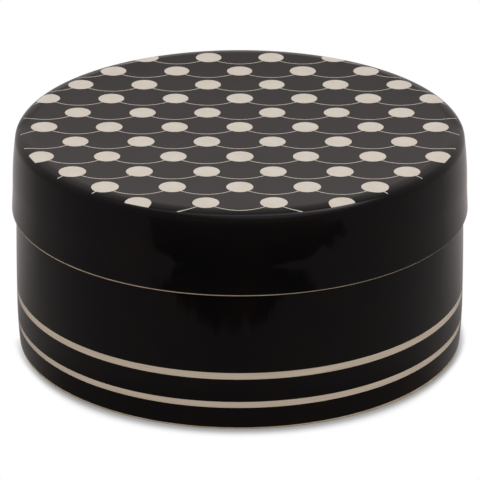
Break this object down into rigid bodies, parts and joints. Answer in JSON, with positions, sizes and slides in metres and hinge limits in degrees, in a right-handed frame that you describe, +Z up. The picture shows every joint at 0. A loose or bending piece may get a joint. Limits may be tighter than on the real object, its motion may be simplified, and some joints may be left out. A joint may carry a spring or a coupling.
{
  "type": "lidded ceramic jar",
  "caption": "Low round lidded ceramic jar: black slip over cream clay, dots and swags scraped on the lid, plain stripes near the foot, and a lid that lifts off.",
  "frame": {"origin": "middle of the foot ring's underside, on the surface that the jar stands on", "axes": "+Z up along the jar's axis, which the lid lifts along; +X runs along the rows of dots; the swags hang towards -Y, the side that faces the viewer"},
  "size_m": [0.1528, 0.1528, 0.0755],
  "materials": {
    "cream_clay": "cream clay under a clear glaze, bare at the foot and at the lid's rim",
    "black_slip": "black slip under a clear gloss glaze"
  },
  "bodies": {
    "jar": {"jar_body": "cream_clay", "coat_foot_band": "black_slip", "coat_between_stripes": "black_slip", "coat_upper_wall": "black_slip"},
    "lid": {"lid_body": "cream_clay", "lid_coat": "black_slip"}
  },
  "joints": [
    {"name": "lid_lift", "type": "slide", "parent": "jar", "child": "lid", "axis": [0, 0, 1], "range_m": [0, 0.1]}
  ]
}
